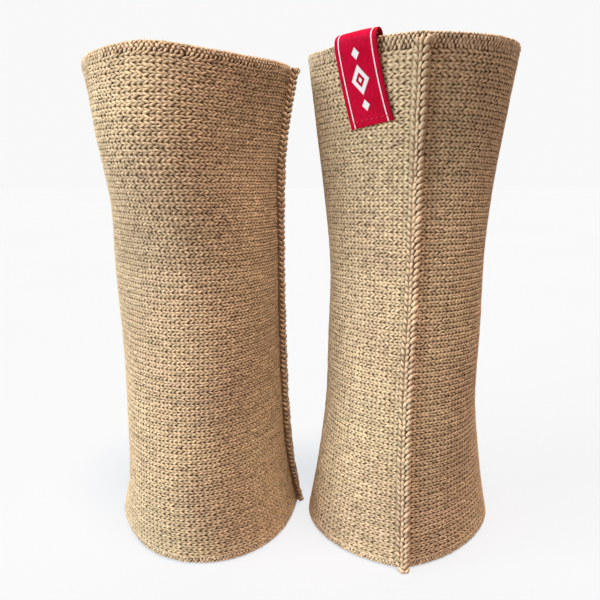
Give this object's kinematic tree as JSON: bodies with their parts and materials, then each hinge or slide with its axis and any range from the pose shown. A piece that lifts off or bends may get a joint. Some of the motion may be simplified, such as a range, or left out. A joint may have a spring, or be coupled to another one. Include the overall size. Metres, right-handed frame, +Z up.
{
  "type": "arm warmers",
  "caption": "Pair of knitted tubes that slip over the forearms, open at both ends, flared at top and hem, each closed by a raised seam.",
  "frame": {"origin": "on the surface the pair stands on, under the middle of the pair's outline", "axes": "+Z up along both tubes, +X from the left warmer to the right warmer, -Y to the front, where the right warmer's seam faces"},
  "size_m": [0.204, 0.1172, 0.2373],
  "materials": {
    "camel_knit": "matte knitted wool yarn",
    "camel_edging": "matte garter-knitted wool yarn",
    "camel_seam": "matte bound-off wool yarn",
    "red_woven_label": "satin woven ribbon"
  },
  "bodies": {
    "root": {"left_warmer_back_panel": "camel_knit", "left_warmer_back_top_edge": "camel_edging", "left_warmer_back_hem_edge": "camel_edging", "left_warmer_front_panel": "camel_knit", "left_warmer_front_top_edge": "camel_edging", "left_warmer_front_hem_edge": "camel_edging", "left_warmer_ridge_seam": "camel_seam", "right_warmer_right_panel": "camel_knit", "right_warmer_right_top_edge": "camel_edging", "right_warmer_right_hem_edge": "camel_edging", "right_warmer_left_panel": "camel_knit", "right_warmer_left_top_edge": "camel_edging", "right_warmer_left_hem_edge": "camel_edging", "right_warmer_ridge_seam": "camel_seam", "right_warmer_label": "red_woven_label"}
  },
  "joints": []
}
